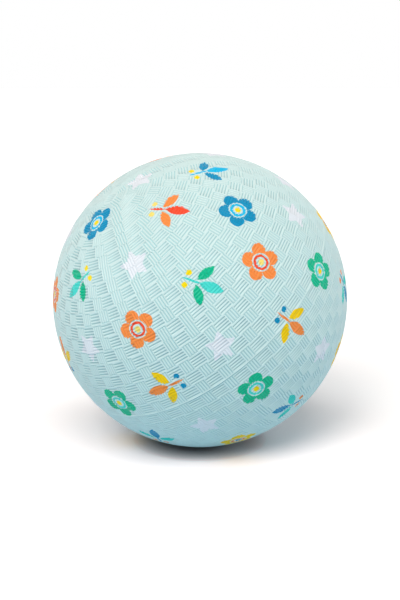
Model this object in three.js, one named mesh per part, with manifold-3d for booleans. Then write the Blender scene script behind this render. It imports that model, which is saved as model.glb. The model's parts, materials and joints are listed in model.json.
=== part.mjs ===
// A child's rubber play ball with a basket-weave skin. Two moulded cover halves meet at a
// leaning parting line and close over an air bladder. The inflation valve sits at the pole
// of the lower half, and its plug pulls straight out. The ball stands on the small flat that
// its own weight presses into it. Millimetres, +Z up, origin on the floor under the centre.

import * as THREE from 'three';
import { mergeVertices } from 'three/addons/utils/BufferGeometryUtils.js';
import Module from 'manifold-3d';

const wasm = await Module();
wasm.setup();

// Driving dimensions of the ball
const ballDiameter = 178;
const contactFlatDiameter = 20;
const coverWall = 1.4;
const bladderWall = 0.8;
const partingLeanDegrees = 42;
const partingTurnDegrees = 210;

// Driving dimensions of the valve, seen along its own axis
const patchDiameter = 40;
const patchWall = 1;
const patchEdge = 0.4;
const flangeDiameter = 26;
const flangeWall = 1.2;
const neckDiameter = 13;
const bossEndDiameter = 10;
const housingFloor = 2;
const mouthRecess = 0.3;
const plugDiameter = 5.4;
const plugTipDiameter = 4.6;
const plugTipLength = 1.5;
const plugLength = 11;
const plugHeadDiameter = 7.6;
const plugHeadThickness = 1.2;
const plugHeadRecess = 0.3;
const needlePassageDiameter = 1.6;

// The gap left between pieces that touch on the real ball
const fitGap = 0.3;

// How finely the round shapes are faceted
const ballSegments = 48;
const quarterSteps = 12;
const valveSegments = 32;
const domeSteps = 4;

const ballRadius = ballDiameter / 2;
const centreHeight = Math.sqrt(ballRadius ** 2 - (contactFlatDiameter / 2) ** 2);
const ballCentre = new THREE.Vector3(0, 0, centreHeight);
const up = new THREE.Vector3(0, 0, 1);
const lean = THREE.MathUtils.degToRad(partingLeanDegrees);
const turn = THREE.MathUtils.degToRad(partingTurnDegrees);
const partingAxis = new THREE.Vector3(
  Math.sin(lean) * Math.cos(turn),
  Math.sin(lean) * Math.sin(turn),
  Math.cos(lean),
);
const valveAxis = partingAxis.clone().negate();

// Frames that stand at the ball's centre with their +Z along an axis
const frameAlong = (axis) => new THREE.Matrix4().compose(
  ballCentre,
  new THREE.Quaternion().setFromUnitVectors(up, axis),
  new THREE.Vector3(1, 1, 1),
);
const partingFrame = frameAlong(partingAxis);
const valveFrame = frameAlong(valveAxis);

// A solid of revolution about +Z from [radius, height] points, counter-clockwise
const turned = (points, segments) => {
  const profile = points.map(([radius, height]) => new THREE.Vector2(radius, height));
  return new THREE.LatheGeometry(profile, segments).rotateX(Math.PI / 2);
};

// Points on a circle about the ball's centre, from one elevation to another
const arc = (radius, fromAngle, toAngle, steps) => {
  const points = [];
  for (let i = 0; i <= steps; i += 1) {
    const angle = fromAngle + (toAngle - fromAngle) * (i / steps);
    points.push([radius * Math.cos(angle), radius * Math.sin(angle)]);
  }
  return points;
};

// Joining and cutting
const weldDistance = 1e-3;

const asSolid = (geometry, frame) => {
  const surface = geometry.clone().applyMatrix4(frame);
  surface.deleteAttribute('normal');
  surface.deleteAttribute('uv');
  const welded = mergeVertices(surface, weldDistance);
  const corners = welded.index.array;
  const triVerts = [];
  for (let i = 0; i < corners.length; i += 3) {
    const [a, b, c] = corners.slice(i, i + 3);
    if (a !== b && b !== c && c !== a) {
      triVerts.push(a, b, c);
    }
  }
  return new wasm.Manifold(new wasm.Mesh({
    numProp: 3,
    vertProperties: welded.attributes.position.array,
    triVerts: Uint32Array.from(triVerts),
  }));
};

const asGeometry = (solid) => {
  const { vertProperties, triVerts } = solid.getMesh();
  const geometry = new THREE.BufferGeometry();
  geometry.setAttribute('position', new THREE.BufferAttribute(vertProperties, 3));
  geometry.setIndex(new THREE.BufferAttribute(triVerts, 1));
  geometry.computeVertexNormals();
  return geometry;
};

// A full ball whose surface lies a given depth under the cover's, with the pressed flat
const ballAtDepth = (depth) => {
  const radius = ballRadius - depth;
  const flatHeight = depth - centreHeight;
  const flatAngle = Math.asin(flatHeight / radius);
  const points = [
    [0, flatHeight],
    ...arc(radius, flatAngle, 0, quarterSteps),
    ...arc(radius, 0, Math.PI / 2, quarterSteps).slice(1),
  ];
  return asSolid(turned(points, ballSegments), new THREE.Matrix4().setPosition(ballCentre));
};

const shell = (depth, wall) => ballAtDepth(depth).subtract(ballAtDepth(depth + wall));

// The largest true sphere that stays inside a faceted ball
const sphereInside = (radius) => (
  radius * Math.cos(Math.PI / ballSegments) * Math.cos(Math.PI / (4 * quarterSteps))
);

// Everything on one side of the parting plane, kept half a gap away from it
const beyondParting = (side) => {
  const size = 2 * ballDiameter;
  const block = new THREE.BoxGeometry(size, size, size);
  block.translate(0, 0, side * (size - fitGap) / 2);
  return asSolid(block, partingFrame);
};

// The hole that the valve's neck passes through
const neckRadius = neckDiameter / 2;
const neckHoleRadius = neckRadius + fitGap;
const neckHole = () => {
  const drill = new THREE.CylinderGeometry(
    neckHoleRadius, neckHoleRadius, ballRadius, valveSegments,
  );
  drill.rotateX(Math.PI / 2);
  drill.translate(0, 0, ballRadius);
  return asSolid(drill, valveFrame);
};

// Cover: moulded aqua rubber, one half above the parting line and one below
const cover = shell(0, coverWall);
const coverUpperHalf = asGeometry(cover.subtract(beyondParting(-1)));
const coverLowerHalf = asGeometry(cover.subtract(beyondParting(1)).subtract(neckHole()));

// Bladder: one thin air-tight bag, open only where the valve goes in
const bladderDepth = coverWall + fitGap;
const bladder = asGeometry(shell(bladderDepth, bladderWall).subtract(neckHole()));

// Valve patch: a domed ring inside the bladder, with its rim skived thin
const patchOuter = sphereInside(ballRadius - bladderDepth - bladderWall) - fitGap;
const patchInner = patchOuter - patchWall;
const flangeRadius = flangeDiameter / 2;
const domeHeight = (sphereRadius, radius) => Math.sqrt(sphereRadius ** 2 - radius ** 2);
const domeAngle = (sphereRadius, radius) => Math.acos(radius / sphereRadius);
const domed = (sphereRadius, fromRadius, toRadius) => arc(
  sphereRadius,
  domeAngle(sphereRadius, fromRadius),
  domeAngle(sphereRadius, toRadius),
  domeSteps,
);
const closed = (points) => [...points, points[0]];

const patchRadius = patchDiameter / 2;
const valvePatch = turned(closed([
  ...domed(patchInner, neckHoleRadius, flangeRadius + fitGap),
  [patchRadius, domeHeight(patchOuter, patchRadius) - patchEdge],
  ...domed(patchOuter, patchRadius, neckHoleRadius),
]), valveSegments);

// Valve plug: a stepped rubber stopper with a needle passage down its middle
const mouthHeight = domeHeight(ballRadius, neckHoleRadius) - mouthRecess;
const plugTop = mouthHeight - plugHeadRecess;
const plugShoulder = plugTop - plugHeadThickness;
const plugEnd = plugTop - plugLength;
const plugRadius = plugDiameter / 2;
const plugHeadRadius = plugHeadDiameter / 2;
const passageRadius = needlePassageDiameter / 2;
const valvePlug = turned(closed([
  [passageRadius, plugEnd],
  [plugTipDiameter / 2, plugEnd],
  [plugRadius, plugEnd + plugTipLength],
  [plugRadius, plugShoulder],
  [plugHeadRadius, plugShoulder],
  [plugHeadRadius, plugTop],
  [passageRadius, plugTop],
]), valveSegments);

// Valve housing: a flanged boss under the patch, whose neck comes out flush with the cover
const flangeOuter = patchInner - fitGap;
const flangeInner = flangeOuter - flangeWall;
const boreRadius = plugRadius + fitGap;
const counterboreRadius = plugHeadRadius + fitGap;
const boreEnd = plugEnd - fitGap;
const bossEnd = boreEnd - housingFloor;
const valveHousing = turned(closed([
  [passageRadius + fitGap, bossEnd],
  [bossEndDiameter / 2, bossEnd],
  [neckRadius, domeHeight(flangeInner, neckRadius)],
  ...domed(flangeInner, neckRadius, flangeRadius).slice(1),
  ...domed(flangeOuter, flangeRadius, neckRadius),
  [neckRadius, mouthHeight],
  [counterboreRadius, mouthHeight],
  [counterboreRadius, plugShoulder - fitGap],
  [boreRadius, plugShoulder - fitGap],
  [boreRadius, boreEnd],
  [passageRadius + fitGap, boreEnd],
]), valveSegments);

const rubber = (color, roughness) => (
  new THREE.MeshStandardMaterial({ color, roughness, metalness: 0 })
);

const piece = (name, geometry, material) => {
  const mesh = new THREE.Mesh(geometry, material);
  mesh.name = name;
  return mesh;
};

const valve = new THREE.Group();
valve.applyMatrix4(valveFrame);
valve.add(
  piece('valve_patch', valvePatch, rubber('#3b3d40', 0.7)),
  piece('valve_housing', valveHousing, rubber('#dfe6e3', 0.55)),
  piece('valve_plug', valvePlug, rubber('#f2f3ee', 0.5)),
);

const ball = new THREE.Group();
ball.add(
  piece('cover_upper_half', coverUpperHalf, rubber('#c8e5e4', 0.5)),
  piece('cover_lower_half', coverLowerHalf, rubber('#bfdfdf', 0.5)),
  piece('bladder', bladder, rubber('#2c2d30', 0.6)),
  valve,
);

export default ball;
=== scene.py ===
"""A child's rubber play ball: a moulded basket-weave skin with a printed pattern, over an air
bladder, with an inflation valve low at the back. The pieces follow in the order of assembly."""

import json
import math

import bmesh
import bpy
import numpy as np
from mathutils import Matrix, Vector


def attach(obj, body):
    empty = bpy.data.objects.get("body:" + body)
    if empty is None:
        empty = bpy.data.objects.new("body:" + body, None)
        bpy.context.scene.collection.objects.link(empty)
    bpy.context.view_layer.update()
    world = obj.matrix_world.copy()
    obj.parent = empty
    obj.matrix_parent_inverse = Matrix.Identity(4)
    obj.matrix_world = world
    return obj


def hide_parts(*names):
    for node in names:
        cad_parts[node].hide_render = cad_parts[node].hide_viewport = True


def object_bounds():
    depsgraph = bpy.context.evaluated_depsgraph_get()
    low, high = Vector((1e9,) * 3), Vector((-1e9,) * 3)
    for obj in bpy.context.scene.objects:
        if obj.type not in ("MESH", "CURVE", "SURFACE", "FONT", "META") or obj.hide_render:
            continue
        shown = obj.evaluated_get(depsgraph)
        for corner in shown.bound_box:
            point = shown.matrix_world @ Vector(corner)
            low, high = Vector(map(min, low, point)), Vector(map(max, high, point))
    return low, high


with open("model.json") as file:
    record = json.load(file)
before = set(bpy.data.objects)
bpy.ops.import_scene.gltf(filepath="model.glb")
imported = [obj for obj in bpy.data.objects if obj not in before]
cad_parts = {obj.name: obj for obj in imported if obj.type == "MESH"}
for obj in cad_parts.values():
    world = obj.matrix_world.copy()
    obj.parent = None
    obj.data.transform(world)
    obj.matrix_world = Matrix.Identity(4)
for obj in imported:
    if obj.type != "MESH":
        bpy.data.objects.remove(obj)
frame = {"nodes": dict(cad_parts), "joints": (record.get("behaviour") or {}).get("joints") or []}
cad_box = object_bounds()


# Bladder
# The thin air-tight bag inside the covers. It is butyl rubber, cured on a form and dusted
# with chalk so that it doesn't stick to the covers, and only the valve opens it.

MM = 0.001
ball_radius = (cad_box[1].x - cad_box[0].x) / 2
ball_centre = Vector((0, 0, cad_box[1].z - ball_radius))
valve_axis = Vector(frame["joints"][0]["axis"]).normalized()

cover_wall = 1.4 * MM
fit_gap = 0.3 * MM
bladder_wall = 0.8 * MM
neck_hole_radius = 6.8 * MM
bladder_outer = ball_radius - cover_wall - fit_gap
bladder_inner = bladder_outer - bladder_wall


def arc(radius, start, end, steps):
    """Points of a circle about the ball's centre, as (radius, height) by angle from the valve."""
    angles = np.linspace(start, end, steps)
    return [(radius * math.sin(angle), radius * math.cos(angle)) for angle in angles]


def turned(name, outline, segments):
    """A mesh turned about the valve's axis from a closed outline of (radius, height) points."""
    weld = 0.001 * MM
    crease = math.radians(40)
    shape = bmesh.new()
    on_axis = [radius < weld for radius, height in outline]
    points = [shape.verts.new((radius, 0, height)) for radius, height in outline]
    edges = [
        shape.edges.new((points[i - 1], points[i]))
        for i in range(len(points)) if not (on_axis[i - 1] and on_axis[i])
    ]
    bmesh.ops.spin(
        shape, geom=points + edges, axis=(0, 0, 1), cent=(0, 0, 0),
        angle=2 * math.pi, steps=segments, use_merge=True,
    )
    bmesh.ops.remove_doubles(shape, verts=shape.verts, dist=weld)
    bmesh.ops.recalc_face_normals(shape, faces=shape.faces)
    upright = valve_axis.to_track_quat("Z", "Y").to_matrix().to_4x4()
    shape.transform(Matrix.Translation(ball_centre) @ upright)
    mesh = bpy.data.meshes.new(name)
    shape.to_mesh(mesh)
    shape.free()
    mesh.shade_smooth()
    mesh.set_sharp_from_angle(angle=crease)
    return mesh


def pressed_flat(points, outermost):
    """Points of the ball's walls, with those under the contact flat moved up as far as it is."""
    depth = outermost - np.linalg.norm(points - np.array(ball_centre), axis=1)
    pressed = points.copy()
    pressed[:, 2] = np.maximum(points[:, 2], depth)
    return pressed


def linear(code):
    """A colour written as sRGB hex, as the linear values that a shader takes."""
    parts = [int(code[i:i + 2], 16) / 255 for i in (1, 3, 5)]
    curve = [p / 12.92 if p <= 0.04045 else ((p + 0.055) / 1.055) ** 2.4 for p in parts]
    return (*curve, 1.0)


def add(tree, kind, settings=None, **inputs):
    """Adds a node, sets its properties, and sets or links its inputs by name or by in_NUMBER."""
    made = tree.nodes.new(kind)
    for name, value in (settings or {}).items():
        setattr(made, name, value)
    for name, value in inputs.items():
        numbered = name.startswith("in_")
        socket = made.inputs[int(name[3:]) if numbered else name.replace("_", " ")]
        if isinstance(value, bpy.types.NodeSocket):
            tree.links.new(value, socket)
        else:
            socket.default_value = value
    return made


def new_material(name):
    """A material with an empty node tree."""
    material = bpy.data.materials.new(name)
    material.use_nodes = True
    material.node_tree.nodes.clear()
    return material, material.node_tree


def dusted_rubber(name, dark, dusted, cloud_mm, roughness):
    """Matt rubber under a film of chalk or buffing dust, which lies in soft clouds."""
    material, tree = new_material(name)
    place = add(tree, "ShaderNodeTexCoord").outputs["Object"]
    clouds = add(tree, "ShaderNodeTexNoise", Vector=place, Scale=1 / (cloud_mm * MM), Detail=4.0)
    colour = add(
        tree, "ShaderNodeMix", {"data_type": "RGBA"},
        in_0=clouds.outputs["Fac"], in_6=linear(dark), in_7=linear(dusted),
    )
    # Real dust is too fine to show, so it is drawn coarser
    grit_mm = 0.4
    grit = add(tree, "ShaderNodeTexNoise", Vector=place, Scale=1 / (grit_mm * MM))
    grain = add(
        tree, "ShaderNodeBump", Strength=0.3, Distance=0.05 * MM, Height=grit.outputs["Fac"],
    )
    shader = add(
        tree, "ShaderNodeBsdfPrincipled",
        Base_Color=colour.outputs[2], Roughness=roughness, IOR=1.52, Normal=grain.outputs["Normal"],
    )
    add(tree, "ShaderNodeOutputMaterial", Surface=shader.outputs["BSDF"])
    return material


def add_piece(name, mesh, material, body, node):
    """A piece of the ball that stands for a solid of the frame and rides on its body."""
    piece = bpy.data.objects.new(name, mesh)
    bpy.context.scene.collection.objects.link(piece)
    mesh.materials.append(material)
    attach(piece, body)
    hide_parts(node)


bladder_rows = 64
bladder_segments = 128
bladder_mesh = turned(
    "bladder",
    arc(bladder_outer, math.asin(neck_hole_radius / bladder_outer), math.pi, bladder_rows)
    + arc(bladder_inner, math.pi, math.asin(neck_hole_radius / bladder_inner), bladder_rows),
    bladder_segments,
)
bladder_points = pressed_flat(np.array([vertex.co for vertex in bladder_mesh.vertices]), ball_radius)
bladder_mesh.vertices.foreach_set("co", bladder_points.ravel())
chalked_butyl = dusted_rubber("chalked_butyl", "#2a2b2e", "#4a4b4d", cloud_mm=14, roughness=0.7)
add_piece("air_bladder", bladder_mesh, chalked_butyl, "ball", "bladder")


# Valve patch
# A domed rubber ring bonded inside the bladder's wall to carry the valve. Its rim is skived
# thin, and its face is buffed before bonding, which leaves it dull and a little patchy.

patch_radius = 20 * MM
patch_wall = 1.0 * MM
patch_edge = 0.4 * MM
patch_corners = frame["nodes"]["valve_patch"].data.vertices
patch_outer = max((corner.co - ball_centre).length for corner in patch_corners)
patch_inner = patch_outer - patch_wall
flange_radius = 13 * MM
valve_segments = 96


def domed(sphere, from_radius, to_radius, steps=10):
    """An arc about the ball's centre between two distances from the valve's axis."""
    return arc(sphere, math.asin(from_radius / sphere), math.asin(to_radius / sphere), steps)


patch_rim_height = math.sqrt(patch_outer ** 2 - patch_radius ** 2) - patch_edge
patch_mesh = turned(
    "valve_patch",
    domed(patch_inner, neck_hole_radius, flange_radius + fit_gap)
    + [(patch_radius, patch_rim_height)]
    + domed(patch_outer, patch_radius, neck_hole_radius),
    valve_segments,
)
buffed_rubber = dusted_rubber("buffed_rubber", "#333538", "#55585a", cloud_mm=5, roughness=0.8)
add_piece("bonded_patch", patch_mesh, buffed_rubber, "ball", "valve_patch")


# Valve housing
# A flanged boss of off-white rubber, moulded in one piece and bonded under the patch. Its neck
# comes out flush with the skin, with a bore for the plug and a round lip at its mouth.

neck_radius = 6.5 * MM
mouth_recess = 0.3 * MM
boss_end_radius = 5 * MM
housing_floor = 2 * MM
flange_wall = 1.2 * MM
lip_bend = 0.5 * MM
edge_bend = 0.25 * MM
plug_radius = 2.7 * MM
plug_length = 11 * MM
plug_head_radius = 3.8 * MM
plug_head_thickness = 1.2 * MM
plug_head_recess = 0.3 * MM
passage_radius = 0.8 * MM
flange_outer = patch_inner - fit_gap
flange_inner = flange_outer - flange_wall
mouth_height = math.sqrt(ball_radius ** 2 - neck_hole_radius ** 2) - mouth_recess
plug_top = mouth_height - plug_head_recess
plug_shoulder = plug_top - plug_head_thickness
plug_end = plug_top - plug_length
bore_radius = plug_radius + fit_gap
counterbore_radius = plug_head_radius + fit_gap
bore_end = plug_end - fit_gap
boss_end = bore_end - housing_floor


def unit(vector):
    """A vector of length 1 in the same direction."""
    return vector / np.linalg.norm(vector)


def rounded(outline, steps=5):
    """The points of a closed outline of (radius, height, bend), each corner rounded by its bend."""
    points = []
    for i, (radius, height, bend) in enumerate(outline):
        corner = np.array((radius, height))
        if not bend:
            points.append(corner)
            continue
        back = unit(np.array(outline[i - 1][:2]) - corner)
        ahead = unit(np.array(outline[(i + 1) % len(outline)][:2]) - corner)
        half_angle = math.acos(back.dot(ahead)) / 2
        middle = corner + unit(back + ahead) * bend / math.sin(half_angle)
        tangent = bend / math.tan(half_angle)
        for share in np.linspace(0, 1, steps):
            from_middle = corner + tangent * (back * (1 - share) + ahead * share) - middle
            points.append(middle + unit(from_middle) * bend)
    return points


def plain(points):
    """Outline points with no rounding."""
    return [(radius, height, 0) for radius, height in points]


def moulded_rubber(name, clear, clouded, roughness):
    """Smooth moulded rubber, a little clouded and speckled, with a soft sheen."""
    material, tree = new_material(name)
    place = add(tree, "ShaderNodeTexCoord").outputs["Object"]
    cloud_mm = 3.0
    clouds = add(tree, "ShaderNodeTexNoise", Vector=place, Scale=1 / (cloud_mm * MM), Detail=3.0)
    colour = add(
        tree, "ShaderNodeMix", {"data_type": "RGBA"},
        in_0=clouds.outputs["Fac"], in_6=linear(clear), in_7=linear(clouded),
    )
    # The grain of the mould is too fine to show, so it is drawn coarser
    skin_mm = 0.3
    skin_noise = add(tree, "ShaderNodeTexNoise", Vector=place, Scale=1 / (skin_mm * MM))
    grain = add(
        tree, "ShaderNodeBump", Strength=0.2, Distance=0.03 * MM, Height=skin_noise.outputs["Fac"],
    )
    shader = add(
        tree, "ShaderNodeBsdfPrincipled",
        Base_Color=colour.outputs[2], Roughness=roughness, IOR=1.52, Normal=grain.outputs["Normal"],
    )
    add(tree, "ShaderNodeOutputMaterial", Surface=shader.outputs["BSDF"])
    return material


housing_mesh = turned(
    "valve_housing",
    rounded(
        [
            (passage_radius + fit_gap, boss_end, edge_bend),
            (boss_end_radius, boss_end, lip_bend),
        ]
        + plain(domed(flange_inner, neck_radius, flange_radius))
        + plain(domed(flange_outer, flange_radius, neck_radius))
        + [
            (neck_radius, mouth_height, lip_bend),
            (counterbore_radius, mouth_height, lip_bend),
            (counterbore_radius, plug_shoulder - fit_gap, 0),
            (bore_radius, plug_shoulder - fit_gap, edge_bend),
            (bore_radius, bore_end, 0),
            (passage_radius + fit_gap, bore_end, edge_bend),
        ]
    ),
    valve_segments,
)
off_white_rubber = moulded_rubber("moulded_off_white_rubber", "#e2e8e5", "#d8dfdb", roughness=0.5)
add_piece("flanged_housing", housing_mesh, off_white_rubber, "ball", "valve_housing")


# Cover halves
# Moulded rubber skins, cured together over the bladder at the leaning parting line. The mould leaves
# square patches of four grooves with ribs between, upright and flat in turn like a basket, in rings
# round each pole.

grooves_in_patch = 4
groove_pitch = 1.64 * MM
groove_cut = 0.5 * MM
groove_half_width = 0.42 * MM
groove_half_floor = 0.22 * MM
groove_end = 0.15 * MM
ring_height = 7.55 * MM
bowed_length = 1.3 * ring_height
upright_width = 6.6 * MM
pair_width = 14.6 * MM
most_pairs = 36
pairs_step = 3
patch_gap = 0.05 * MM
hairline = 0.02 * MM
flash_width = 0.5 * MM
flash_height = 0.2 * MM
nip_depth = 0.25 * MM
# Waves of painted shade along the nip, and the turn where that painted shade is darkest
nip_shade_waves = 5
darkest_nip_shade = math.radians(52)
pole_patch_reach = 4.6 * MM
valve_disc_radius = 11.5 * MM
valve_disc_sink = 0.1 * MM
hole_bend = 0.3 * MM
mould_slip = math.radians(1.2)
weave_start = np.array([0.85, -0.5, 0.0])
rib_top = ball_radius - flash_height
groove_floor = rib_top - groove_cut
# Shares of the flash's width: where its crest starts and ends, and where the nip's floor ends
flash_crest = (0.25, 0.6)
nip_floor_end = 0.8
# Shares of the disc's radius: the moat round the disc, and the disc's own rim
moat_floor = (0.98, 0.95)
disc_rim = (0.93, 0.85)
# Rows at an upright's end, in groove half widths: its edge, the floor of a cross groove, the ribs at
# their full height, and one more that keeps the ribs' shading level
upright_end_rows = (0.0, 1.0, 2.0, 2.6)


class Skin:
    """Gathers the points and faces of one cover half, in rings round its pole. A point's level is 1 on
    a rib and 0 in a groove, and along the nip at the parting line it goes down to -1 where the painted
    shade there is darkest."""

    def __init__(self, pole, turn):
        self.pole = unit(np.array(pole))
        start = unit(weave_start - weave_start.dot(self.pole) * self.pole)
        self.right = start * math.cos(turn) + np.cross(self.pole, start) * math.sin(turn)
        self.back = np.cross(self.pole, self.right)
        self.points = []
        self.levels = []
        self.faces = []
        self.lining_faces = set()

    def add_points(self, colatitude, azimuth, radius, level):
        colatitude, azimuth, radius, level = np.broadcast_arrays(colatitude, azimuth, radius, level)
        out = np.sin(colatitude) * radius
        placed = (
            (out * np.cos(azimuth))[..., None] * self.right
            + (out * np.sin(azimuth))[..., None] * self.back
            + (np.cos(colatitude) * radius)[..., None] * self.pole
        )
        start = len(self.levels)
        self.points.extend(placed.reshape(-1, 3))
        self.levels.extend(level.ravel())
        return np.arange(start, len(self.levels)).reshape(colatitude.shape)

    def add_grid(self, grid):
        corners = np.stack([grid[:-1, :-1], grid[:-1, 1:], grid[1:, 1:], grid[1:, :-1]], axis=-1)
        self.faces.extend(map(tuple, corners.reshape(-1, 4).tolist()))

    def circle(self, colatitude, radius, count, level=1.0):
        azimuth = np.arange(count) * (2 * math.pi / count)
        return self.add_points(np.full(count, colatitude), azimuth, radius, level), azimuth

    def fill(self, first, first_at, second, second_at):
        """Triangles between two runs of points, given with how far along each point is."""
        i = k = 0
        while i < len(first) - 1 or k < len(second) - 1:
            second_done = k == len(second) - 1
            if second_done or (i < len(first) - 1 and first_at[i + 1] <= second_at[k + 1]):
                self.faces.append((first[i], first[i + 1], second[k]))
                i += 1
            else:
                self.faces.append((first[i], second[k + 1], second[k]))
                k += 1

    def stitch(self, low, high):
        """Triangles between two closed rings of points, given as (points, azimuths)."""
        turn = 2 * math.pi
        low_points, low_at = low
        high_points, high_at = high
        away = (high_at - low_at[0] + math.pi) % turn - math.pi
        first = int(np.argmin(np.abs(away)))
        high_points = np.roll(high_points, -first).tolist()
        high_at = (away[first] + (np.roll(high_at, -first) - high_at[first]) % turn).tolist()
        low_points = low_points.tolist()
        low_at = (low_at - low_at[0]).tolist()
        self.fill(
            low_points + low_points[:1], low_at + [turn],
            high_points + high_points[:1], high_at + [high_at[0] + turn],
        )

    def close_lining(self, ring, radius):
        """Closes the lining's last ring with one point at the pole."""
        tip = int(self.add_points(np.array([0.0]), 0.0, radius, 1.0)[0])
        points = ring[0].tolist()
        for here, after in zip(points, points[1:] + points[:1]):
            self.faces.append((after, here, tip))

    def pole_patch(self, half_side):
        """Adds a square patch over the pole. Returns its edge, in order round the pole."""
        along, along_depth = along_groove(2 * half_side)
        across, across_depth = across_grooves(2 * half_side)
        x, y = np.meshgrid((2 * along - 1) * half_side, (2 * across - 1) * half_side)
        azimuth = np.arctan2(y, x)
        depth = np.outer(across_depth, along_depth)
        radius = rib_top - groove_cut * depth
        grid = self.add_points(np.hypot(x, y) / ball_radius, azimuth, radius, 1 - depth)
        self.add_grid(grid)
        edge, edge_at = (
            np.concatenate([part[0, :-1], part[:-1, -1], part[-1, :0:-1], part[:0:-1, 0]])
            for part in (grid, azimuth)
        )
        return edge, edge_at


def across_grooves(width):
    """Places across a patch with its grooves in the middle, and how deep each place is."""
    from_middle = np.arange(grooves_in_patch) - (grooves_in_patch - 1) / 2
    middles = width / 2 + groove_pitch * from_middle
    edges = np.array((-groove_half_width, -groove_half_floor, groove_half_floor, groove_half_width))
    places = np.array([0.0, *(middles[:, None] + edges).ravel(), width]) / width
    return places, np.array([0.0, *(0.0, 1.0, 1.0, 0.0) * grooves_in_patch, 0.0])


def along_groove(length):
    """Places along a groove, which slopes up to the skin at both ends, and how deep each is. A long
    groove has a place in its middle, to follow the ball's curve."""
    end = groove_end / length
    middle = [0.5] if length > bowed_length else []
    places = np.array([0.0, end, *middle, 1 - end, 1.0])
    return places, np.where((places == 0) | (places == 1), 0.0, 1.0)


def along_upright(length):
    """Places along an upright patch, with room for a cross groove at both ends, and its depths."""
    start = np.array(upright_end_rows) * groove_half_width / length
    places = np.concatenate([start, 1 - start[::-1]])
    return places, np.where((places == 0) | (places == 1), 0.0, 1.0)


class WeaveRing:
    """One ring of patches between two colatitudes, upright and flat in turn."""

    def __init__(self, seam_side, pole_side, first_upright):
        self.seam_side = seam_side
        girth = 2 * math.pi * ball_radius * math.sin((seam_side + pole_side) / 2)
        steps = max(1, round(girth / pair_width / pairs_step))
        pairs = min(most_pairs, steps * pairs_step)
        self.count = 2 * pairs
        self.height = ball_radius * (seam_side - pole_side) - patch_gap
        self.flat_width = girth / pairs - upright_width - 2 * patch_gap
        self.upright_share = (upright_width + patch_gap) / (girth / pairs)
        self.first_upright = first_upright

    def upright_at(self, azimuth):
        """Whether an azimuth lies in a patch with upright grooves. The two patches of a pair have
        their middles a quarter and three quarters of the way along it."""
        upright_middle = 0.25 if self.first_upright else 0.75
        pairs_away = azimuth * self.count / (4 * math.pi) - upright_middle
        return np.abs((pairs_away + 0.5) % 1 - 0.5) < self.upright_share / 2

    def weave(self, skin, seam_neighbour, pole_neighbour):
        """Adds the ring's patches. Returns its seam-side and pole-side edges."""
        edges = ([], [])
        edges_at = ([], [])
        sides = []
        neighbours = (seam_neighbour, pole_neighbour)
        for j in range(self.count):
            middle = 2 * math.pi * (j + 0.5) / self.count
            upright = (j % 2 == 0) == self.first_upright
            if upright:
                a, a_depth = across_grooves(upright_width)
                b, b_depth = along_upright(self.height)
            else:
                a, a_depth = along_groove(self.flat_width)
                b, b_depth = across_grooves(self.height)
            colatitude = (self.seam_side - (patch_gap / 2 + b * self.height) / ball_radius)[:, None]
            half_upright = upright_width / (2 * ball_radius * np.sin(colatitude))
            gap = patch_gap / (ball_radius * np.sin(colatitude))
            half_span = half_upright if upright else 2 * math.pi / self.count - half_upright - gap
            azimuth = middle + (2 * a - 1) * half_span
            depth = np.outer(b_depth, a_depth)
            if upright:
                inside = np.where((a == 0) | (a == 1), 0.0, 1.0)
                for (edge, floor), ring in zip(((0, 1), (-1, -2)), neighbours):
                    if ring:
                        goes_on = ring.upright_at(azimuth[edge])
                        depth[edge] = np.where(goes_on, a_depth, 0.0)
                        depth[floor] = np.where(goes_on, a_depth, inside)
            radius = rib_top - groove_cut * depth
            grid = skin.add_points(colatitude, azimuth, radius, 1 - depth)
            skin.add_grid(grid)
            for row, ring_edge, ring_edge_at in zip((0, -1), edges, edges_at):
                ring_edge.extend(grid[row])
                ring_edge_at.extend(azimuth[row])
            sides.append((grid[:, 0].tolist(), grid[:, -1].tolist(), b))
        for (_, end, at), (next_start, _, next_at) in zip(sides, sides[1:] + sides[:1]):
            skin.fill(next_start, next_at, end, at)
        return [(np.array(edge), np.array(edge_at)) for edge, edge_at in zip(edges, edges_at)]


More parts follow.
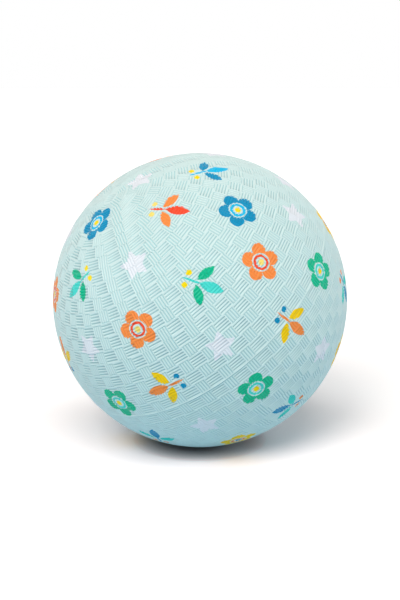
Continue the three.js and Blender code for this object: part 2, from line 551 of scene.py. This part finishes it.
def cover_half(pole, turn, weave_end, hole_radius=None):
    """The closed shell of one half: lining, rim, flash and weave. At its pole it has a square patch,
    or a smooth disc with the valve's hole."""
    skin = Skin(pole, turn)
    right_angle = math.pi / 2
    inside = ball_radius - cover_wall
    rim = right_angle - hairline / ball_radius
    lining_rows = 24
    lining_segments = 96
    first_row = math.asin(hole_radius / inside) if hole_radius else right_angle / lining_rows
    lining_at = np.linspace(first_row, rim, lining_rows)
    rings = [skin.circle(row, inside, lining_segments) for row in lining_at]
    if not hole_radius:
        skin.close_lining(rings[0], inside)
    # The upper half carries the flash, and the lower half the nip beside it, an even notch whose
    # painted shade comes and goes
    flash = flash_width / ball_radius
    flash_segments = 480
    round_rim = np.linspace(0, 2 * math.pi, flash_segments, endpoint=False)
    # The nip's level waves round the rim between 0 and -1, and this only sets how dark its painted
    # shade is
    nip_shade = -0.5 - 0.5 * np.cos(nip_shade_waves * (round_rim - darkest_nip_shade))
    if hole_radius:
        parting = [(share, rib_top - nip_depth, nip_shade) for share in (0.0, nip_floor_end)]
    else:
        parting = [(0.0, rib_top, 1.0)]
        parting += [(share, rib_top + flash_height, 1.0) for share in flash_crest]
    for share, radius, level in (*parting, (1.0, rib_top, 1.0)):
        rings.append(skin.circle(rim - share * flash, radius, flash_segments, level))
    for number, (low, high) in enumerate(zip(rings, rings[1:]), start=1):
        skin.stitch(low, high)
        if number == lining_rows:
            skin.lining_faces = set(range(len(skin.faces)))
    last = rings[-1]
    disc_edge = weave_end / ball_radius
    woven = rim - flash - disc_edge
    ring_count = round(woven * ball_radius / ring_height)
    step = woven / ring_count
    sides = [rim - flash - number * step for number in range(ring_count + 1)]
    parity = 1 if hole_radius else 0
    weave = [WeaveRing(sides[k], sides[k + 1], k % 2 == parity) for k in range(ring_count)]
    for ring, before, after in zip(weave, [None] + weave, weave[1:] + [None]):
        low, high = ring.weave(skin, before, after)
        skin.stitch(last, low)
        last = high
    if not hole_radius:
        skin.stitch(last, skin.pole_patch(weave_end / math.sqrt(2)))
        return skin
    disc_top = rib_top - valve_disc_sink
    disc_rows = [(share, groove_floor, 0.0) for share in moat_floor]
    disc_rows += [(share, disc_top, 1.0) for share in disc_rim]
    for share, radius, level in disc_rows:
        ring = skin.circle(disc_edge * share, radius, valve_segments, level)
        skin.stitch(last, ring)
        last = ring
    hole_edge = math.asin(hole_radius / disc_top)
    for share in (0.0, 0.5, 1.0):
        bent = share * right_angle
        colatitude = hole_edge + hole_bend / ball_radius * (1 - math.sin(bent))
        ring = skin.circle(colatitude, disc_top - hole_bend * (1 - math.cos(bent)), valve_segments)
        skin.stitch(last, ring)
        last = ring
    wall_start = len(skin.faces)
    skin.stitch(last, rings[0])
    skin.lining_faces.update(range(wall_start, len(skin.faces)))
    return skin


# The print is laid on the whole ball, one motif at each point of a golden-angle spiral, and it
# leaves the skin bare round the valve
motif_count = 70
clear_of_valve = 24 * MM
golden_turn = math.pi * (3 - math.sqrt(5))
print_pole = unit(np.array([0.35, -0.55, 0.76]))
print_turn = math.radians(20)
spin_turns = 1.7
motif_kinds = ("blossom", "star", "sprig")
palette_count = 6
# Keeps a division clear of zero
tiny = 1e-9


def motif_places():
    """Centres and tangent directions of the motifs, as unit vectors."""
    number = np.arange(motif_count)
    height = 1 - (2 * number + 1) / motif_count
    out = np.sqrt(1 - height ** 2)
    side = unit(np.cross(print_pole, [0.0, 0.0, 1.0]))
    front = np.cross(print_pole, side)
    angle = number * golden_turn + print_turn
    centres = (
        (out * np.cos(angle))[:, None] * side
        + (out * np.sin(angle))[:, None] * front
        + height[:, None] * print_pole
    )
    spin = number * golden_turn * spin_turns
    level = np.cross(centres, [0.0, 0.0, 1.0])
    level /= np.linalg.norm(level, axis=1)[:, None]
    steep = np.cross(centres, level)
    across = level * np.cos(spin)[:, None] + steep * np.sin(spin)[:, None]
    return centres, across, np.cross(centres, across)


def bake_places(skin, direction, radius, corner_point, in_lining):
    """A flat map with equal areas: the skin as one disc, and its lining small in a corner."""
    flat = np.stack([direction @ skin.right, direction @ skin.back], axis=1)
    flat /= np.maximum(np.linalg.norm(flat, axis=1), tiny)[:, None]
    colatitude = np.arccos(np.clip(direction @ skin.pole, -1, 1))
    map_radius = 0.499
    reach = map_radius * math.sqrt(2) * np.sin(colatitude / 2)
    skin_place = 0.5 + flat * reach[:, None]
    inside = ball_radius - cover_wall
    outward = radius - inside
    at_rim = colatitude > math.pi / 4
    run = inside * colatitude + np.where(at_rim, outward, -outward)
    longest = inside * math.pi / 2 + cover_wall
    corner_disc = 0.5 * (math.sqrt(2) - 1) / (math.sqrt(2) + 1)
    corner_share = 0.95
    lining_place = corner_disc + flat * (corner_share * corner_disc * run / longest)[:, None]
    return np.where(in_lining[:, None], lining_place[corner_point], skin_place[corner_point])


def printed_mesh(name, skin):
    """The mesh of a cover half, with the place of each face corner on its nearest motif."""
    points = np.array(skin.points)
    radius = np.linalg.norm(points, axis=1)
    direction = points / radius[:, None]
    mesh = bpy.data.meshes.new(name)
    mesh.from_pydata(pressed_flat(points + np.array(ball_centre), rib_top), [], skin.faces)
    mesh.shade_smooth()
    crease = math.radians(80)
    mesh.set_sharp_from_angle(angle=crease)
    corner_point = np.empty(len(mesh.loops), np.int32)
    mesh.loops.foreach_get("vertex_index", corner_point)
    face_size = np.array([len(face) for face in skin.faces])
    face_start = np.cumsum(face_size) - face_size
    centres, across, along = motif_places()
    face_middle = np.add.reduceat(direction[corner_point], face_start, axis=0)
    motif = np.argmax(face_middle @ centres.T, axis=1)
    corner_motif = np.repeat(motif, face_size)
    corner = direction[corner_point]
    turn = np.arccos(np.clip((corner * centres[corner_motif]).sum(1), -1, 1))
    u = (corner * across[corner_motif]).sum(1)
    v = (corner * along[corner_motif]).sum(1)
    spread = turn / np.maximum(np.hypot(u, v), tiny) * ball_radius / MM
    motif_mm = np.stack([u * spread, v * spread, 0 * spread], axis=1).astype(np.float32)
    kind = motif % len(motif_kinds)
    is_star = kind == motif_kinds.index("star")
    is_sprig = kind == motif_kinds.index("sprig")
    palette = (motif // len(motif_kinds)) % palette_count
    in_lining = np.isin(np.arange(len(skin.faces)), list(skin.lining_faces))
    away_from_valve = centres @ np.array(valve_axis) < math.cos(clear_of_valve / ball_radius)
    printed = away_from_valve[motif] & ~in_lining
    out_of_reach = 100.0
    for title, domain, values in (
        ("is_sprig", "FACE", is_sprig),
        ("off_stars", "FACE", np.where(is_star & printed, 0, out_of_reach)),
        ("off_colours", "FACE", np.where(~is_star & printed, 0, out_of_reach)),
        ("palette", "FACE", (palette + 0.5) / palette_count),
        ("rib_level", "POINT", np.array(skin.levels)),
    ):
        attribute = mesh.attributes.new(title, "FLOAT", domain)
        attribute.data.foreach_set("value", values.astype(np.float32))
    attribute = mesh.attributes.new("motif_mm", "FLOAT_VECTOR", "CORNER")
    attribute.data.foreach_set("vector", motif_mm.ravel())
    corner_in_lining = np.repeat(in_lining, face_size)
    places = bake_places(skin, direction, radius, corner_point, corner_in_lining)
    layer = mesh.uv_layers.new(name="OFBake")
    layer.uv.foreach_set("vector", places.astype(np.float32).ravel())
    return mesh


def disc(tree, place, x, y, radius):
    """Signed distance in mm from a disc on the print."""
    away = add(tree, "ShaderNodeVectorMath", {"operation": "DISTANCE"}, in_0=place, in_1=(x, y, 0))
    edge = add(
        tree, "ShaderNodeMath", {"operation": "SUBTRACT"}, in_0=away.outputs["Value"], in_1=radius,
    )
    return edge.outputs[0]


def leaf(tree, place, foot, length, half_width):
    """Signed distance in mm from a pointed leaf that stands up from its foot."""
    bow = ((length / 2) ** 2 + half_width ** 2) / (2 * half_width)
    middle = add(
        tree, "ShaderNodeVectorMath", {"operation": "SUBTRACT"},
        in_0=place, in_1=(0, foot + length / 2, 0),
    )
    quarter = add(tree, "ShaderNodeVectorMath", {"operation": "ABSOLUTE"}, in_0=middle.outputs[0])
    return disc(tree, quarter.outputs[0], half_width - bow, 0, bow)


def five_fold(tree, place):
    """The place's distance from the motif's middle, and the place folded into a tenth of a turn."""
    parts = add(tree, "ShaderNodeSeparateXYZ", Vector=place)
    angle = add(
        tree, "ShaderNodeMath", {"operation": "ARCTAN2"},
        in_0=parts.outputs["Y"], in_1=parts.outputs["X"],
    )
    fold = add(
        tree, "ShaderNodeMath", {"operation": "PINGPONG"}, in_0=angle.outputs[0], in_1=math.pi / 5,
    )
    reach = add(tree, "ShaderNodeVectorMath", {"operation": "LENGTH"}, in_0=place)
    spoke = add(tree, "ShaderNodeCombineXYZ", X=reach.outputs["Value"])
    folded = add(
        tree, "ShaderNodeVectorRotate", {"rotation_type": "Z_AXIS"},
        Vector=spoke.outputs[0], Angle=fold.outputs[0],
    )
    return reach.outputs["Value"], folded.outputs[0]


def blossom(tree, place):
    """Signed distances of a blossom's petals, ring and heart."""
    petal_middle, petal_radius, petal_foot = 6.9, 4.2, 5.2
    ring_radius, ring_half_width = 3.7, 0.8
    heart_radius = 1.8
    reach, folded = five_fold(tree, place)
    foot = add(tree, "ShaderNodeMath", {"operation": "SUBTRACT"}, in_0=petal_foot, in_1=reach)
    petals = add(
        tree, "ShaderNodeMath", {"operation": "MAXIMUM"},
        in_0=disc(tree, folded, petal_middle, 0, petal_radius), in_1=foot.outputs[0],
    )
    off_ring = add(tree, "ShaderNodeMath", {"operation": "SUBTRACT"}, in_0=reach, in_1=ring_radius)
    band = add(tree, "ShaderNodeMath", {"operation": "ABSOLUTE"}, in_0=off_ring.outputs[0])
    ring = add(
        tree, "ShaderNodeMath", {"operation": "SUBTRACT"}, in_0=band.outputs[0], in_1=ring_half_width,
    )
    heart = add(tree, "ShaderNodeMath", {"operation": "SUBTRACT"}, in_0=reach, in_1=heart_radius)
    return add(
        tree, "ShaderNodeCombineXYZ", X=petals.outputs[0], Y=ring.outputs[0], Z=heart.outputs[0],
    )


def star(tree, place):
    """Signed distance of a five-pointed star with blunt tips."""
    tip, notch, blunt = 9.6, 4.9, 8.6
    reach, folded = five_fold(tree, place)
    notch_place = np.array((notch * math.cos(math.pi / 5), notch * math.sin(math.pi / 5)))
    edge = unit(notch_place - np.array((tip, 0)))
    outward = (float(edge[1]), float(-edge[0]), 0)
    along = add(tree, "ShaderNodeVectorMath", {"operation": "DOT_PRODUCT"}, in_0=folded, in_1=outward)
    side = add(
        tree, "ShaderNodeMath", {"operation": "SUBTRACT"},
        in_0=along.outputs["Value"], in_1=tip * outward[0],
    )
    tips = add(tree, "ShaderNodeMath", {"operation": "SUBTRACT"}, in_0=reach, in_1=blunt)
    return add(
        tree, "ShaderNodeMath", {"operation": "MAXIMUM"}, in_0=side.outputs[0], in_1=tips.outputs[0],
    )


def sprig(tree, place):
    """Signed distances of a sprig's side leaves, its middle leaf with the stem, and its berries."""
    lean = math.radians(58)
    leaf_joint = (0, -4, 0)
    berry_out, berry_height, berry_radius = 3.6, -9.0, 1.7
    mirror = add(tree, "ShaderNodeVectorMath", {"operation": "ABSOLUTE"}, in_0=place)
    parts = add(tree, "ShaderNodeSeparateXYZ", Vector=place)
    mirror_parts = add(tree, "ShaderNodeSeparateXYZ", Vector=mirror.outputs[0])
    one_side = add(
        tree, "ShaderNodeCombineXYZ", X=mirror_parts.outputs["X"], Y=parts.outputs["Y"],
    ).outputs[0]
    leaning = add(
        tree, "ShaderNodeVectorRotate", {"rotation_type": "Z_AXIS"},
        Vector=one_side, Center=leaf_joint, Angle=lean,
    )
    side_leaves = leaf(tree, leaning.outputs[0], foot=-2.5, length=12, half_width=2.7)
    middle_leaf = leaf(tree, place, foot=-1.5, length=14, half_width=3.0)
    stem = leaf(tree, place, foot=-12, length=12, half_width=0.8)
    stalk = add(tree, "ShaderNodeMath", {"operation": "MINIMUM"}, in_0=middle_leaf, in_1=stem)
    berries = disc(tree, one_side, berry_out, berry_height, berry_radius)
    return add(tree, "ShaderNodeCombineXYZ", X=side_leaves, Y=stalk.outputs[0], Z=berries)


def printed_rubber():
    """Moulded aqua rubber with a satin skin. Painted shade darkens its grooves, and the nip at the
    parting line most of all. Screened ink lies over the ribs in flat colours, and its edges waver by
    hand and draw back where they cross a groove."""
    inks = (
        ("#0092be", "#f59147", "#00bc90", "#f7d000", "#2bd2c7", "#f08c69"),
        ("#00bce8", "#f04f2d", "#48d9ce", "#f59147", "#0092be", "#30d3c8"),
        ("#f7dc00", "#f7e07a", "#f7dc00", "#0092be", "#f59147", "#009a72"),
        ("#e3e9ef",) * palette_count,
    )
    material, tree = new_material("printed_rubber")
    place = add(tree, "ShaderNodeTexCoord").outputs["Object"]
    level = add(tree, "ShaderNodeAttribute", {"attribute_name": "rib_level"}).outputs["Fac"]
    is_sprig = add(tree, "ShaderNodeAttribute", {"attribute_name": "is_sprig"}).outputs["Fac"]
    off_stars = add(tree, "ShaderNodeAttribute", {"attribute_name": "off_stars"}).outputs["Fac"]
    off_colours = add(tree, "ShaderNodeAttribute", {"attribute_name": "off_colours"}).outputs["Fac"]
    palette = add(tree, "ShaderNodeAttribute", {"attribute_name": "palette"}).outputs["Fac"]
    on_motif = add(tree, "ShaderNodeAttribute", {"attribute_name": "motif_mm"}).outputs["Vector"]

    waver_mm, waver_reach = 4.0, 1.1
    waver = add(tree, "ShaderNodeTexNoise", Vector=place, Scale=1 / (waver_mm * MM), Detail=2.0)
    centred = add(
        tree, "ShaderNodeVectorMath", {"operation": "SUBTRACT"},
        in_0=waver.outputs["Color"], in_1=(0.5, 0.5, 0.5),
    )
    drawn = add(
        tree, "ShaderNodeVectorMath", {"operation": "MULTIPLY_ADD"},
        in_0=centred.outputs[0], in_1=(waver_reach, waver_reach, 0), in_2=on_motif,
    ).outputs[0]

    coloured = add(
        tree, "ShaderNodeMix", {"data_type": "VECTOR"},
        in_0=is_sprig, in_4=blossom(tree, drawn).outputs[0], in_5=sprig(tree, drawn).outputs[0],
    )
    coloured_here = add(
        tree, "ShaderNodeVectorMath", {"operation": "ADD"}, in_0=coloured.outputs[1], in_1=off_colours,
    )
    star_here = add(
        tree, "ShaderNodeMath", {"operation": "ADD"},
        in_0=star(tree, drawn).outputs[0], in_1=off_stars,
    )
    edges = add(tree, "ShaderNodeSeparateXYZ", Vector=coloured_here.outputs[0])
    groove_draw, inked_level = 0.3, 0.6
    drawn_back = add(
        tree, "ShaderNodeMapRange", Value=level,
        From_Min=0.0, From_Max=inked_level, To_Min=groove_draw, To_Max=0.0,
    )

    mottle_mm = 22
    mottle = add(tree, "ShaderNodeTexNoise", Vector=place, Scale=1 / (mottle_mm * MM), Detail=3.0)
    even = add(
        tree, "ShaderNodeMix", {"data_type": "RGBA"},
        in_0=mottle.outputs["Fac"], in_6=linear("#d2e9e7"), in_7=linear("#cde5e4"),
    )
    # Painted shade: the grooves, and the nip at the parting line most of all, are darkened towards a
    # deeper aqua by their level
    darkest_level, unshaded_level = -1.0, 0.8
    painted_groove_shade = add(
        tree, "ShaderNodeMapRange", Value=level,
        From_Min=darkest_level, From_Max=unshaded_level, To_Min=1.0, To_Max=0.0,
    )
    colour = add(
        tree, "ShaderNodeMix", {"data_type": "RGBA"},
        in_0=painted_groove_shade.outputs[0], in_6=even.outputs[2], in_7=linear("#70b3bb"),
    ).outputs[2]

    blur = 0.15
    for edge, codes in zip((*edges.outputs, star_here.outputs[0]), inks):
        ramp = add(tree, "ShaderNodeValToRGB", Fac=palette)
        ramp.color_ramp.interpolation = "CONSTANT"
        stops = ramp.color_ramp.elements
        stops.remove(stops[1])
        stops[0].color = linear(codes[0])
        for number, code in enumerate(codes[1:], start=1):
            stops.new(number / palette_count).color = linear(code)
        inked = add(tree, "ShaderNodeMath", {"operation": "ADD"}, in_0=edge, in_1=drawn_back.outputs[0])
        cover = add(
            tree, "ShaderNodeMapRange", {"interpolation_type": "SMOOTHSTEP"},
            Value=inked.outputs[0], From_Min=blur, From_Max=-blur,
        )
        colour = add(
            tree, "ShaderNodeMix", {"data_type": "RGBA"},
            in_0=cover.outputs[0], in_6=colour, in_7=ramp.outputs["Color"],
        ).outputs[2]

    # The grain of the mould is too fine to show, so it is drawn coarser
    grain_mm = 0.35
    grain = add(tree, "ShaderNodeTexNoise", Vector=place, Scale=1 / (grain_mm * MM), Detail=2.0)
    skin_grain = add(
        tree, "ShaderNodeBump", Strength=0.15, Distance=0.04 * MM, Height=grain.outputs["Fac"],
    )
    shader = add(
        tree, "ShaderNodeBsdfPrincipled",
        Base_Color=colour, Roughness=0.38, IOR=1.5, Specular_IOR_Level=0.2,
        Normal=skin_grain.outputs["Normal"],
    )
    add(tree, "ShaderNodeOutputMaterial", Surface=shader.outputs["BSDF"])
    return material


cover_rubber = printed_rubber()
upper_skin = cover_half(-valve_axis, 0.0, pole_patch_reach)
lower_skin = cover_half(valve_axis, mould_slip, valve_disc_radius, neck_hole_radius)
for node, skin in (("cover_upper_half", upper_skin), ("cover_lower_half", lower_skin)):
    add_piece("woven_" + node, printed_mesh(node, skin), cover_rubber, "ball", node)


# Valve plug
# The push-in stopper of white rubber, moulded in one piece. A dimple in its head leads the pump's
# needle to the passage, and the head sits a little under the housing's lip.

plug_tip_radius = 2.3 * MM
plug_tip_length = 1.5 * MM
dimple_radius = 1.7 * MM
dimple_depth = 0.6 * MM
plug_mesh = turned(
    "valve_plug",
    rounded(
        [
            (passage_radius, plug_end, edge_bend / 2),
            (plug_tip_radius, plug_end, edge_bend),
            (plug_radius, plug_end + plug_tip_length, lip_bend),
            (plug_radius, plug_shoulder, 0),
            (plug_head_radius, plug_shoulder, edge_bend),
            (plug_head_radius, plug_top, lip_bend),
            (dimple_radius, plug_top, edge_bend),
            (passage_radius, plug_top - dimple_depth, edge_bend),
        ]
    ),
    valve_segments,
)
white_rubber = moulded_rubber("moulded_white_rubber", "#f3f4f0", "#eaece7", roughness=0.45)
add_piece("stopper_plug", plug_mesh, white_rubber, "valve_plug", "valve_plug")


# Floor, light and camera
# A white paper floor under soft lamps, the strongest from the upper left, seen from a little above.
# None of it belongs to the ball.

def looked_at(tree):
    """1 where the camera looks, straight or by a reflection or through glass, and 0 elsewhere."""
    rays = add(tree, "ShaderNodeLightPath").outputs
    looked = rays["Is Camera Ray"]
    for kind in ("Is Glossy Ray", "Is Transmission Ray"):
        looked = add(
            tree, "ShaderNodeMath", {"operation": "MAXIMUM"}, in_0=looked, in_1=rays[kind],
        ).outputs[0]
    return looked


def floor_paper():
    """White paper. The camera sees it a little over-lit, so that only the shadow is left. A painted
    shadow, led by ambient occlusion, darkens the core under the ball, and a painted warm tint near the
    ball cancels the aqua light that the ball's colour would throw on it."""
    material, tree = new_material("floor_paper")
    # Painted shadow: the paper's level follows ambient occlusion, from the core level under the ball to
    # the open level
    core_mm, painted_core_level, open_level = 10, 0.34, 1.24
    open_above = add(tree, "ShaderNodeAmbientOcclusion", Distance=core_mm * MM)
    painted_shadow_level = add(
        tree, "ShaderNodeMapRange",
        Value=open_above.outputs["AO"], To_Min=painted_core_level, To_Max=open_level,
    )
    # Painted warm tint near the ball, against the aqua light that the ball throws on the paper
    cast_mm = 90
    open_round = add(tree, "ShaderNodeAmbientOcclusion", Distance=cast_mm * MM)
    cast = add(
        tree, "ShaderNodeMix", {"data_type": "RGBA"},
        in_0=open_round.outputs["AO"], in_6=linear("#ffeded"), in_7=linear("#ffffff"),
    )
    warmed = add(
        tree, "ShaderNodeMix", {"data_type": "RGBA", "blend_type": "MULTIPLY"},
        in_0=1.0, in_6=painted_shadow_level.outputs[0], in_7=cast.outputs[2],
    )
    plain_paper = add(tree, "ShaderNodeBsdfDiffuse", Color=linear("#c4e5f7"))
    bright_paper = add(tree, "ShaderNodeBsdfDiffuse", Color=warmed.outputs[2])
    shader = add(
        tree, "ShaderNodeMixShader",
        in_0=looked_at(tree), in_1=plain_paper.outputs[0], in_2=bright_paper.outputs[0],
    )
    add(tree, "ShaderNodeOutputMaterial", Surface=shader.outputs["Shader"])
    return material


floor_half = 6.0
floor_mesh = bpy.data.meshes.new("floor")
floor_corners = [(x * floor_half, y * floor_half, 0) for x, y in ((-1, -1), (1, -1), (1, 1), (-1, 1))]
floor_mesh.from_pydata(floor_corners, [], [(0, 1, 2, 3)])
floor_mesh.materials.append(floor_paper())
floor = bpy.data.objects.new("floor", floor_mesh)
bpy.context.scene.collection.objects.link(floor)

world = bpy.data.worlds.new("studio")
bpy.context.scene.world = world
world.use_nodes = True
world_tree = world.node_tree
world_tree.nodes.clear()
dome = add(world_tree, "ShaderNodeBackground", Color=linear("#ffffff"), Strength=0.25)
backdrop = add(world_tree, "ShaderNodeBackground", Color=linear("#ffffff"), Strength=1.0)
sky = add(
    world_tree, "ShaderNodeMixShader",
    in_0=looked_at(world_tree), in_1=dome.outputs[0], in_2=backdrop.outputs[0],
)
add(world_tree, "ShaderNodeOutputWorld", Surface=sky.outputs[0])


def add_lamp(name, azimuth, elevation, width, energy, tint):
    """A far, round, soft lamp. Its directions are in degrees, seen from the camera's side."""
    across = math.radians(azimuth)
    rise = math.radians(elevation)
    flat = Vector((math.sin(across), -math.cos(across), 0))
    source = flat * math.cos(rise) + Vector((0, 0, math.sin(rise)))
    light = bpy.data.lights.new(name, "SUN")
    light.angle = math.radians(width)
    light.energy = energy
    light.color = linear(tint)[:3]
    lamp = bpy.data.objects.new(name, light)
    lamp.location = ball_centre + source
    lamp.rotation_mode = "QUATERNION"
    lamp.rotation_quaternion = (-source).to_track_quat("-Z", "Y")
    bpy.context.scene.collection.objects.link(lamp)


add_lamp("key_softbox", azimuth=-26, elevation=39, width=28, energy=1.42, tint="#fff6f0")
add_lamp("top_softbox", azimuth=0, elevation=55, width=30, energy=1.1, tint="#fff9f6")
add_lamp("right_strip", azimuth=88, elevation=18, width=20, energy=0.78, tint="#ffffff")
add_lamp("left_strip", azimuth=-95, elevation=57, width=30, energy=0.28, tint="#ffffff")

picture_height = 600
ball_pixels = 147.5
camera_elevation = math.radians(12)
lens_mm = 72
sensor_mm = 36
half_angle = math.atan(ball_pixels / (lens_mm / sensor_mm * picture_height))
distance = ball_radius / math.sin(half_angle)
camera_data = bpy.data.cameras.new("camera")
camera_data.lens = lens_mm
camera_data.sensor_width = sensor_mm
camera = bpy.data.objects.new("camera", camera_data)
towards = Vector((0, -math.cos(camera_elevation), math.sin(camera_elevation)))
camera.location = ball_centre + towards * distance
camera.rotation_mode = "QUATERNION"
camera.rotation_quaternion = (-towards).to_track_quat("-Z", "Y")
bpy.context.scene.collection.objects.link(camera)
bpy.context.scene.camera = camera
bpy.context.scene.view_settings.view_transform = "Standard"
